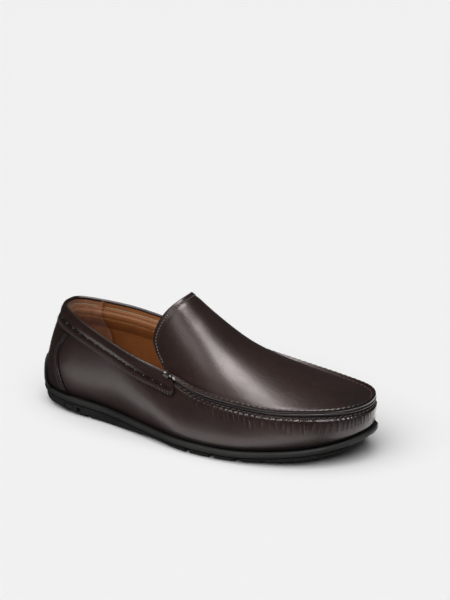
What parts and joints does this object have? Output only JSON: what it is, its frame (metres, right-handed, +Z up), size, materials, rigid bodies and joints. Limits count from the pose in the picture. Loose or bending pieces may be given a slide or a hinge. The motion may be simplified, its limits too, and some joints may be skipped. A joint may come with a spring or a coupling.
{
  "type": "moccasin shoe",
  "caption": "Slip-on leather moccasin for the right foot, with an arched plug, raised toe seam, padded collar and rubber unit sole.",
  "frame": {"origin": "on the ground, under the middle of the shoe's box", "axes": "+X from heel to toe, +Y to the inner side of the foot, +Z up"},
  "size_m": [0.2962, 0.1126, 0.1126],
  "materials": {
    "upper_leather": "burnished dark brown box calf, semi-gloss",
    "tan_lining": "tan pigskin lining, satin",
    "heel_grip": "suede heel grip, matt",
    "sole_rubber": "moulded black rubber, matt",
    "thread": "waxed polyester thread, dark brown",
    "stiffener": "resin-impregnated non-woven, matt",
    "foam": "open-cell foam, matt",
    "fibreboard": "cellulose insole board, matt",
    "cork_filler": "granulated cork, matt",
    "shank_steel": "plain spring steel"
  },
  "bodies": {
    "root": {"outsole": "sole_rubber", "insole_board": "fibreboard", "shank": "shank_steel", "forepart_filler": "cork_filler", "footbed": "foam", "sock_lining": "tan_lining", "side_wall": "upper_leather", "heel_counter": "stiffener", "side_stiffener_outer": "stiffener", "side_stiffener_inner": "stiffener", "toe_puff": "stiffener", "vamp_lining": "tan_lining", "quarter_lining_outer": "tan_lining", "quarter_lining_inner": "tan_lining", "heel_grip_lining": "heel_grip", "collar_padding": "foam", "collar_band": "upper_leather", "heel_backstay": "upper_leather", "plug": "upper_leather", "plug_lining": "tan_lining", "seam_thread": "thread", "tongue_thread": "thread", "collar_thread": "thread", "backstay_thread_outer": "thread", "backstay_thread_inner": "thread", "corner_tie_outer": "thread", "corner_tie_inner": "thread"}
  },
  "joints": []
}
